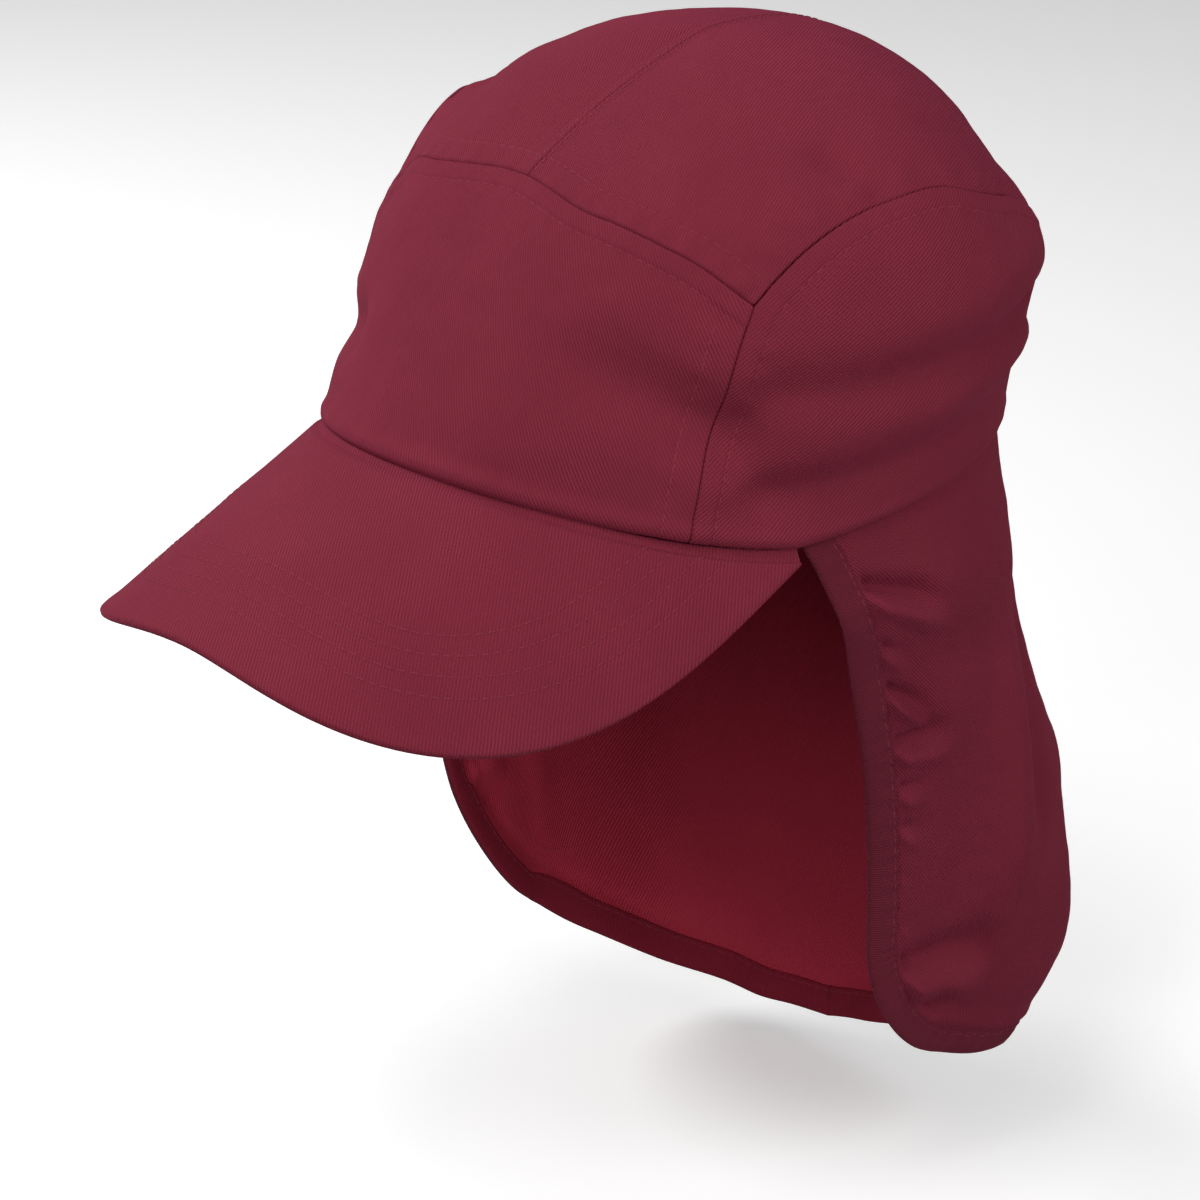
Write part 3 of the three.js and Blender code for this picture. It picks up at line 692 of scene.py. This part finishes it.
def math_node(tree, operation, *values):
    node = tree.nodes.new("ShaderNodeMath")
    node.operation = operation
    for socket, value in zip(node.inputs, values):
        if isinstance(value, (int, float)):
            socket.default_value = value
        else:
            link(tree, value, socket)
    return node.outputs[0]


def twill(name, light, dark, pitch=0.082, contrast=1.0, bump=0.12, sheen=0.16):
    """Cotton twill: fine slanting ribs, crossing threads, soft fading and a faint nap."""
    material = bpy.data.materials.new(name)
    material.use_nodes = True
    tree = material.node_tree
    shader = tree.nodes["Principled BSDF"]
    coords = tree.nodes.new("ShaderNodeUVMap")
    coords.uv_map = "cloth"
    parts = tree.nodes.new("ShaderNodeSeparateXYZ")
    link(tree, coords.outputs[0], parts.inputs[0])

    def noise_node(scale, detail):
        node = tree.nodes.new("ShaderNodeTexNoise")
        node.inputs["Scale"].default_value = scale
        node.inputs["Detail"].default_value = detail
        link(tree, coords.outputs[0], node.inputs["Vector"])
        return node.outputs[0]

    waver = math_node(tree, "MULTIPLY", noise_node(3.0, 2), 1.6)
    across = math_node(tree, "MULTIPLY_ADD", parts.outputs[0], 2 * math.pi / pitch, waver)
    rib = math_node(tree, "SINE", across)
    along = math_node(tree, "MULTIPLY_ADD", parts.outputs[1], 2 * math.pi / (pitch * 1.35), across)
    thread = math_node(tree, "SINE", along)
    fibre = math_node(tree, "SUBTRACT", noise_node(26.0, 3), 0.5)
    weave = math_node(tree, "MULTIPLY_ADD", thread, 0.35, rib)
    weave = math_node(tree, "MULTIPLY_ADD", fibre, 1.6, weave)
    patchy = math_node(tree, "MULTIPLY_ADD", noise_node(0.55, 2), 1.5, -0.15)
    shade = math_node(tree, "MULTIPLY", weave, patchy)
    shade = math_node(tree, "MULTIPLY_ADD", shade, 0.38 * contrast, 0.5)
    faded = math_node(tree, "SUBTRACT", noise_node(0.28, 3), 0.5)
    shade = math_node(tree, "MULTIPLY_ADD", faded, 0.5, shade)
    mix = tree.nodes.new("ShaderNodeMix")
    mix.data_type = "RGBA"
    mix.inputs["A"].default_value = (*dark, 1)
    mix.inputs["B"].default_value = (*light, 1)
    link(tree, shade, mix.inputs["Factor"])
    link(tree, mix.outputs["Result"], shader.inputs["Base Color"])
    raised = tree.nodes.new("ShaderNodeBump")
    raised.inputs["Strength"].default_value = 0.7
    raised.inputs["Distance"].default_value = bump * MM
    link(tree, weave, raised.inputs["Height"])
    link(tree, raised.outputs[0], shader.inputs["Normal"])
    shader.inputs["Roughness"].default_value = 0.92
    shader.inputs["Specular IOR Level"].default_value = 0.12
    shader.inputs["Sheen Weight"].default_value = sheen
    shader.inputs["Sheen Roughness"].default_value = 0.45
    shader.inputs["Sheen Tint"].default_value = (0.80, 0.08, 0.26, 1)
    return material


def plain_thread(name, colour):
    material = bpy.data.materials.new(name)
    material.use_nodes = True
    tree = material.node_tree
    shader = tree.nodes["Principled BSDF"]
    coords = tree.nodes.new("ShaderNodeTexCoord")
    grain = tree.nodes.new("ShaderNodeTexNoise")
    grain.inputs["Scale"].default_value = 900
    link(tree, coords.outputs["Object"], grain.inputs["Vector"])
    ramp = tree.nodes.new("ShaderNodeMix")
    ramp.data_type = "RGBA"
    ramp.inputs["A"].default_value = (*[c * 0.7 for c in colour], 1)
    ramp.inputs["B"].default_value = (*[c * 1.2 for c in colour], 1)
    link(tree, grain.outputs[0], ramp.inputs["Factor"])
    link(tree, ramp.outputs["Result"], shader.inputs["Base Color"])
    shader.inputs["Roughness"].default_value = 0.9
    shader.inputs["Specular IOR Level"].default_value = 0.12
    return material


CLOTH_LIGHT = (0.262, 0.030, 0.054)
CLOTH_DARK = (0.150, 0.014, 0.029)
# Wrong side of the cloth: its own deeper red, with painted light on top. It is about twice as bright as the
# outer cloth, standing in for light on the shaded inside of the crown and flap.
WRONG_PALE_WITH_PAINTED_LIGHT = (0.520, 0.040, 0.076)
WRONG_DEEP_WITH_PAINTED_LIGHT = (0.430, 0.031, 0.060)
TAPE_LIGHT = (0.196, 0.024, 0.041)
TAPE_DARK = (0.112, 0.012, 0.023)
TAPE_INSIDE_LIGHT = (0.270, 0.020, 0.040)
TAPE_INSIDE_DARK = (0.200, 0.012, 0.028)
THREAD_COLOUR = (0.275, 0.042, 0.068)
TAPE_PITCH = 0.075

cloth = twill("cotton_twill", CLOTH_LIGHT, CLOTH_DARK)
# The wrong side of the cloth, brightened as painted light for the shaded inside.
wrong_side_with_painted_light = twill("twill_wrong_side_painted_light", WRONG_PALE_WITH_PAINTED_LIGHT, WRONG_DEEP_WITH_PAINTED_LIGHT, contrast=0.35, sheen=0.05)
tape = twill("binding_tape", TAPE_LIGHT, TAPE_DARK, pitch=TAPE_PITCH, contrast=0.8)
tape_inside = twill(
    "binding_inside", TAPE_INSIDE_LIGHT, TAPE_INSIDE_DARK, pitch=TAPE_PITCH, contrast=0.4, sheen=0.05,
)
thread = plain_thread("sewing_thread", THREAD_COLOUR)
both_sides = [cloth, wrong_side_with_painted_light]

pieces = []
stitch_rows = {}

front_rim = rim_line(-FOOT_ANGLE, FOOT_ANGLE)
front, outer, normals, gaps = crown_piece(
    "front_panel_cloth",
    patch(front_rim, cross_seam, backward(side_front_seam(-1)), backward(side_front_seam(1))),
    260, 130,
    {
        "near": (front_rim, "rim"),
        "far": (cross_seam, "front_over"),
        "start": (side_front_seam(-1), "front_side"),
        "end": (side_front_seam(1), "front_side"),
    },
    28, both_sides,
)
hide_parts("front_panel")
pieces.append((front, "crown_cloth"))
inside_sides = np.minimum(gaps["start"], gaps["end"]) - ROW_FRONT_SIDE
stitch_rows["front_panel_stitches"] = [
    line_at(outer, normals, gaps["far"], ROW_FRONT, True, inside_sides),
    line_at(outer, normals, gaps["start"], ROW_FRONT_SIDE, False, gaps["far"] - ROW_FRONT),
    line_at(outer, normals, gaps["end"], ROW_FRONT_SIDE, False, gaps["far"] - ROW_FRONT),
]

for side, word in ((1, "left"), (-1, "right")):
    half_cross = half_cross_seam(side)
    back_rim = rim_line(side * 180, side * HEEL_ANGLE)
    top, outer, normals, gaps = crown_piece(
        f"top_panel_{word}_cloth",
        patch(middle_line, side_top_seam(side), half_cross, back_rim),
        260, 120,
        {
            "near": (middle_line, "centre"),
            "far": (side_top_seam(side), "top_side"),
            "start": (half_cross, "top_under"),
            "end": (back_rim, "rim"),
        },
        30, both_sides, flat_top=True,
    )
    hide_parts(f"top_panel_{word}")
    pieces.append((top, "crown_cloth"))
    stitch_rows[f"top_panel_{word}_stitches"] = [
        line_at(outer, normals, gaps["start"], ROW_TOP, False),
        line_at(outer, normals, gaps["near"], ROW_CENTRE, True),
    ]

    side_rim = rim_line(side * FOOT_ANGLE, side * HEEL_ANGLE)
    over, behind = split_side_seam(side)
    flank, outer, normals, gaps = crown_piece(
        f"side_panel_{word}_cloth",
        patch(side_rim, over, backward(side_front_seam(side)), behind),
        220, 110,
        {
            "near": (side_rim, "rim"),
            "far": (side_top_seam(side), "side_over"),
            "start": (side_front_seam(side), "side_over"),
        },
        -48, both_sides,
    )
    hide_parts(f"side_panel_{word}")
    pieces.append((flank, "crown_cloth"))
    stitch_rows[f"side_panel_{word}_stitches"] = [
        line_at(outer, normals, gaps["far"], ROW_SIDE, True, gaps["start"] - ROW_SIDE),
        line_at(outer, normals, gaps["start"], ROW_SIDE, False, gaps["far"] - ROW_SIDE),
    ]


# Peak: a stiff board in cloth, with four rows of stitches that follow its edge.
def peak_edge(share):
    turn = np.abs(share) * math.pi / 2
    sine, cosine = np.sin(turn), np.cos(turn)
    blend = (sine**PEAK_SQUARENESS + cosine**PEAK_SQUARENESS) ** (-1 / PEAK_SQUARENESS)
    end_x, end_y = rim_plan(PEAK_END_ANGLE)
    to_end = 1 + (end_x / PEAK_HALF_WIDTH - 1) * sine**12
    x = np.sign(share) * PEAK_HALF_WIDTH * sine * blend * to_end
    return x, end_y - PEAK_REACH * cosine * blend


def board_normal(x, y):
    step = 0.05
    slope_x = (board_height(x + step, y) - board_height(x - step, y)) / (2 * step)
    slope_y = (board_height(x, y + step) - board_height(x, y - step)) / (2 * step)
    return unit(np.stack([-slope_x, -slope_y, np.ones_like(slope_x)], axis=-1))


def peak_piece(across=240, out=80):
    share = np.sin((2 * eased(across, 0.3) - 1) * math.pi / 2 * 0.9) / math.sin(math.pi / 2 * 0.9)
    share, v = np.meshgrid(share, eased(out, 0.6))
    angle = share * PEAK_END_ANGLE
    nx, ny = rim_normal(angle)
    rx, ry = rim_plan(angle)
    ex, ey = peak_edge(share)
    rx, ry = rx - nx * PEAK_TUCK, ry - ny * PEAK_TUCK
    ex, ey = ex + nx * PEAK_EDGE_EASE, ey + ny * PEAK_EDGE_EASE
    x, y = rx + (ex - rx) * v, ry + (ey - ry) * v
    top = np.stack([x, y, board_height(x, y)], axis=-1)
    normal = board_normal(x, y)
    rim = np.stack([*rim_plan(angle), rim_height(angle)], axis=-1)
    from_rim = np.linalg.norm(top - rim, axis=-1) * np.sign(v - 0.02)
    _, gap = nearest_on(top[-1], top)
    quilt = sum(-0.14 * hump((gap - row) / 0.8) for row in PEAK_ROWS)
    soft = 0.35 * fractal(top, 42) * smooth(gap / 10)
    dip = (PEAK_DIP + PEAK_END_DIP * smooth((np.abs(share) - 0.4) / 0.4)) * smooth((4.0 - from_rim) / 3.0)
    upper = top + normal * (quilt + soft - rolled(gap, 1.2) + 0.15 * hump((gap - 2.5) / 1.5))[..., None]
    upper[..., 2] -= dip
    lower = top - normal * (PEAK_THICKNESS - rolled(gap, 1.1) + quilt - soft)[..., None]
    piece = sheet_object("peak_cloth", upper, lower, woven(x, y * 1.08, 35), [cloth, cloth])
    rows = [line_at(upper, grid_normal(upper), gap, row, True) for row in PEAK_ROWS]
    under = [line_at(lower, -grid_normal(lower), gap, row, True) for row in PEAK_ROWS]
    return piece, rows + under


peak, stitch_rows["peak_stitches"] = peak_piece()
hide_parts("peak")
pieces.append((peak, "peak_cloth"))


# Neck flap
def flap_angle(at):
    return math.pi + at * (math.pi - PEAK_END_ANGLE - FLAP_START)


def hanging_folds(at, down):
    total = np.zeros_like(down)
    for top, foot, start, end, width, depth in FLAP_FOLDS:
        share = (down - start) / (end - start)
        centre = top + (foot - top) * np.clip(share, 0, 1)
        fade = smooth(share * 3) * (1 if end >= 1 else smooth((1 - share) * 3))
        total = total + depth * fade * hump((at - centre) / width)
    return total


def flap_point(at, down):
    at, down = np.broadcast_arrays(at, down)
    angle = flap_angle(at)
    low = np.clip(down, 0, None)
    held = np.clip(down, 0, 1)
    x, y = rim_plan(angle)
    nx, ny = rim_normal(angle)
    drop = curve(FLAP_LINES, 4, at)
    under = TUCK_IN * smooth((TUCK_RUN - down * drop) / TUCK_RUN)
    out = curve(FLAP_LINES, 1, at) * np.sin(math.pi * held**BELLY_HEIGHT)
    out = out + curve(FLAP_LINES, 2, at) * low**HEM_CURL - FLAP_INSET - under - hanging_folds(at, down)
    puff = smooth((np.abs(at) - PUFF_START) / PUFF_FADE)
    out = out + PUFF_DEPTH * hump((down - PUFF_DOWN) / PUFF_WIDTH) * puff
    back = curve(FLAP_LINES, 3, at) * (1 - (1 - held) ** EDGE_SWEEP)
    z = rim_height(angle) - SEAM_GAP - drop * down
    return np.stack([x + nx * out, y + ny * out + back, z], axis=-1)


def flap_frame(at, down):
    step = 0.003
    low = np.maximum(down, step)
    along_at = (flap_point(at + step, low) - flap_point(at - step, low)) / (2 * step)
    along_down = (flap_point(at, low + step) - flap_point(at, low - step)) / (2 * step)
    return along_at, along_down, unit(np.cross(along_down, along_at))


def free_edge(share):
    """Down the left front edge, along the hem and up the right one, share -1 to 2."""
    mirror = share > 0.5
    s = np.where(mirror, 1 - share, share)
    straight = 1 - CORNER_DEPTH
    t = 1 + s
    turn = np.where(s < 0, (t - SIDE_SHARE) / (1 - SIDE_SHARE), 1 + s / HEM_SHARE) * math.pi / 4
    corner_at = -1 + (1 - CORNER_START) * (1 - np.cos(turn))
    corner_down = straight + CORNER_DEPTH * np.sin(turn)
    hem_at = -CORNER_START + 2 * CORNER_START * (s - HEM_SHARE) / (1 - 2 * HEM_SHARE)
    on_side, on_hem = t < SIDE_SHARE, s >= HEM_SHARE
    at = np.where(on_side, -1, np.where(on_hem, hem_at, corner_at))
    down = np.where(on_side, straight * t / SIDE_SHARE, np.where(on_hem, 1, corner_down))
    return np.where(mirror, -at, at), down


def drawn_edge(share, width):
    """The free edge drawn in by a width measured on the cloth."""
    step = 0.01
    at, down = free_edge(share)
    before = free_edge(np.maximum(share - step, -1))
    after = free_edge(np.minimum(share + step, 2))
    along_at, along_down, normal = flap_frame(at, down)
    step_at, step_down = after[0] - before[0], after[1] - before[1]
    tangent = unit(along_at * step_at[..., None] + along_down * step_down[..., None])
    inward = np.cross(normal, tangent)
    aa = (along_at * along_at).sum(-1)
    ad = (along_at * along_down).sum(-1)
    dd = (along_down * along_down).sum(-1)
    pa = (along_at * inward).sum(-1) * width
    pd = (along_down * inward).sum(-1) * width
    det = aa * dd - ad * ad
    return at + (pa * dd - pd * ad) / det, down + (pd * aa - pa * ad) / det


def flap_place(width):
    """Places on the flap between its drawn edges and its seam."""
    def edge(share, v):
        at, down = drawn_edge(share, width)
        return at, np.where(v < 0.02, 0, down)

    def left(v):
        return edge(-1 + v, v)

    def right(v):
        return edge(2 - v, v)

    def hem(u):
        return drawn_edge(u, width)

    def seam(u):
        return ends[0] + (ends[1] - ends[0]) * u, np.zeros_like(u)

    ends = [float(side(np.array(0.0))[0]) for side in (left, right)]
    return patch(seam, hem, left, right)


def edge_gap(points, count=1500):
    """Distance of each point from the free edge of the flap."""
    line = flap_point(*free_edge(np.linspace(-1, 2, count)))
    return nearest_on(line, points)[1]


def gathered(at, down, inset):
    """Depth of the gathers that the binding holds in the cloth beside it."""
    total = -EDGE_PUFF * hump((inset - 3.6) / 2.8)
    for side, place, rise, reach, width, depth in GATHERS:
        share = np.clip(inset / reach, 0, 1.5)
        off = (down - place + rise * share) * FLAP_LENGTH
        fade = smooth((inset + 0.4) / 3.0) * hump(np.maximum(inset - reach * 0.45, 0) / (reach * 0.55))
        fade = fade * smooth((1.3 * reach - (1 - np.abs(at)) * HALF_ROUND) / 14)
        spread = width * (0.7 + 0.8 * share)
        ridge = 0.75 * hump((off - 1.7 * spread) / spread) * (1 - 0.5 * share)
        total += np.where(np.sign(at) == side, depth * fade * (hump(off / spread) - ridge), 0)
    return total


def flap_piece(round_steps=250, down_steps=170):
    u, v = np.meshgrid(eased(round_steps, 0.55), np.linspace(0, 1, down_steps + 1))
    at, down = flap_place(3.2)(u, v)
    down = np.where(v <= 1e-9, -FLAP_TUCK, down)
    base = flap_point(at, down)
    _, _, normal = flap_frame(at, down)
    inset = edge_gap(base) - BINDING_WIDTH
    lift = waves(base, FLAP_WAVES)
    lift *= smooth(down * FLAP_LENGTH / 14) * smooth((inset - 2) / 20)
    lift -= gathered(at, down, inset)
    outer = base + normal * lift[..., None]
    inner = outer - normal * FLAP_CLOTH
    weave = woven(-at * HALF_ROUND, down * 195, 30)
    return sheet_object("neck_flap_cloth", outer, inner, weave, both_sides)


flap = flap_piece()
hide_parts("neck_flap")
pieces.append((flap, "flap_cloth"))

# Section of the folded tape: how far in from the edge, and height over the cloth's outer face.
TAPE_SECTION = (
    (8.7, 0.02), (8.6, 0.40), (8.2, 0.62), (7.5, 0.42), (6.9, 0.62), (5.4, 0.88), (3.4, 0.94),
    (1.4, 0.80), (0.3, 0.35), (0.0, -0.20), (0.0, -0.90), (0.3, -1.45), (1.4, -1.88),
    (3.4, -2.00), (5.4, -1.95), (7.3, -1.72), (8.2, -1.68), (8.6, -1.44), (8.7, -1.12),
    (6.0, -1.14), (1.0, -1.16), (0.55, -0.90), (0.55, -0.20), (1.0, 0.04), (6.0, 0.02),
)
# Places in that section: the stitches outside and inside, the middle, and where the inside starts.
STITCH_OUTSIDE = 3
STITCH_INSIDE = 15
MIDDLE = 6
INSIDE_START = 10


def binding_piece(count=760):
    share = np.concatenate([
        np.linspace(-1, 0, count // 4, endpoint=False),
        np.linspace(0, 1, count // 2, endpoint=False),
        np.linspace(1, 2, count // 4 + 1),
    ])
    rings, normals = [], []
    for width, height in TAPE_SECTION:
        at, down = drawn_edge(share, width)
        top = smooth((np.minimum(share + 1, 2 - share)) / 0.03)
        down = down - FLAP_TUCK * (1 - top)
        points = flap_point(at, down)
        _, _, normal = flap_frame(at, down)
        ripple = 0.22 * np.sin(share * 190 + 1.5 * np.sin(share * 31)) * hump((width - 8) / 3.5)
        level = np.where(height < -0.55, height, height + ripple * (height > 0.3))
        rings.append(points + normal * (level * (0.55 + 0.45 * top))[..., None])
        normals.append(normal)
    grid = np.stack(rings, axis=0)
    rows, columns = grid.shape[:2]
    index = np.arange(rows * columns).reshape(rows, columns)
    nxt = np.roll(index, -1, axis=0)
    quads = np.stack([index[:, :-1], index[:, 1:], nxt[:, 1:], nxt[:, :-1]], axis=-1)
    inside = np.zeros(quads.shape[:2], dtype=np.int32)
    inside[INSIDE_START:] = 1
    quads = quads.reshape(-1, 4)
    caps = []
    for j in (0, columns - 1):
        ring = index[:, j]
        half = rows // 2
        for k in range(half - 1):
            quad = [ring[k], ring[k + 1], ring[rows - 2 - k], ring[rows - 1 - k]]
            caps.append(quad if j == 0 else quad[::-1])
    quads = np.vstack([quads, np.array(caps)])
    inside = np.concatenate([inside.ravel(), np.zeros(len(caps), dtype=np.int32)])
    wide = np.array([w if k < INSIDE_START else -w for k, (w, _) in enumerate(TAPE_SECTION)])
    uv = np.stack(np.broadcast_arrays(run_along(grid[MIDDLE]), wide[:, None]), axis=-1)
    uv = uv.reshape(-1, 2) / MM_PER_CM
    points = grid.reshape(-1, 3)
    piece = mesh_object("flap_binding_tape", points, quads, [tape, tape_inside], uv, inside)
    up, down = normals[STITCH_OUTSIDE], -normals[STITCH_INSIDE]
    stitched = (grid[STITCH_OUTSIDE] + STITCH_LIFT * up, up), (grid[STITCH_INSIDE] + STITCH_LIFT * down, down)
    return piece, list(stitched)


binding, stitch_rows["binding_stitches"] = binding_piece()
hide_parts("flap_binding")
pieces.append((binding, "binding_tape"))

for name, rows in stitch_rows.items():
    stitches = stitch_object(name, rows, thread)
    pieces.append((stitches, "binding_tape" if name == "binding_stitches" else "crown_cloth"))

for piece, slot in pieces:
    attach(piece, "root")

# Studio: a white floor below the hem, and soft lights above, in front and at both sides
world = bpy.data.worlds.new("studio")
bpy.context.scene.world = world
world.use_nodes = True
world.node_tree.nodes["Background"].inputs["Color"].default_value = (1, 1, 1, 1)
world.node_tree.nodes["Background"].inputs["Strength"].default_value = 0.06


def area_light(name, place, target, size, power):
    light = bpy.data.lights.new(name, "AREA")
    light.shape = "DISK"
    light.size = size
    light.energy = power
    lamp = bpy.data.objects.new(name, light)
    lamp.location = place
    lamp.rotation_euler = (Vector(target) - Vector(place)).to_track_quat("-Z", "Y").to_euler()
    bpy.context.scene.collection.objects.link(lamp)


# Lights: name, place and target in metres, size, power.
LIGHTS = (
    ("key", (0.06, -0.60, 1.38), (0, 0, 0), 0.6, 5.6),
    ("top", (0.25, -0.30, 1.5), (0, 0, 0), 2.0, 4),
    ("front", (0.30, -1.28, 0.58), (0, 0, -0.05), 0.8, 7.2),
    ("left", (-1.20, -0.35, 0.80), (0, 0, 0), 0.7, 12.8),
    ("right", (1.20, 0.50, 0.85), (0, 0, -0.05), 0.7, 5),
    ("low", (1.25, -0.15, 0.0), (0, 0, -0.10), 0.7, 4.8),
)
for light in LIGHTS:
    area_light(*light)

FLOOR_HEIGHT = -0.226
FLOOR_HALF = 6
floor_mesh = bpy.data.meshes.new("floor")
corners = [(FLOOR_HALF * x, FLOOR_HALF * y, FLOOR_HEIGHT) for x, y in ((-1, -1), (1, -1), (1, 1), (-1, 1))]
floor_mesh.from_pydata(corners, [], [(0, 1, 2, 3)])
floor = bpy.data.objects.new("floor", floor_mesh)
floor.visible_diffuse = False
bpy.context.scene.collection.objects.link(floor)
paper = bpy.data.materials.new("white_paper")
paper.use_nodes = True
paper.node_tree.nodes["Principled BSDF"].inputs["Base Color"].default_value = (0.95, 0.95, 0.95, 1)
paper.node_tree.nodes["Principled BSDF"].inputs["Roughness"].default_value = 0.9
paper.node_tree.nodes["Principled BSDF"].inputs["Emission Color"].default_value = (1, 1, 1, 1)
paper.node_tree.nodes["Principled BSDF"].inputs["Emission Strength"].default_value = 0.34
floor_mesh.materials.append(paper)

# Camera
sin_a, cos_a = math.sin(VIEW_AZIMUTH), math.cos(VIEW_AZIMUTH)
sin_e, cos_e = math.sin(VIEW_ELEVATION), math.cos(VIEW_ELEVATION)
back = Vector((sin_a * cos_e, -cos_a * cos_e, sin_e))
right = Vector((cos_a, sin_a, 0))
up = back.cross(right)
shift_x = (VIEW_CENTRE[0] - PICTURE / 2) / VIEW_FOCAL * VIEW_DISTANCE
shift_y = (VIEW_CENTRE[1] - PICTURE / 2) / VIEW_FOCAL * VIEW_DISTANCE
camera_data = bpy.data.cameras.new("camera")
camera_data.sensor_width = SENSOR
camera_data.lens = SENSOR * VIEW_FOCAL / PICTURE
camera_data.clip_start = 0.05
camera = bpy.data.objects.new("camera", camera_data)
camera.location = (back * VIEW_DISTANCE - right * shift_x + up * shift_y) * MM
camera.rotation_euler = (-back).to_track_quat("-Z", "Y").to_euler()
bpy.context.scene.collection.objects.link(camera)
bpy.context.scene.camera = camera
bpy.context.scene.view_settings.view_transform = "Standard"
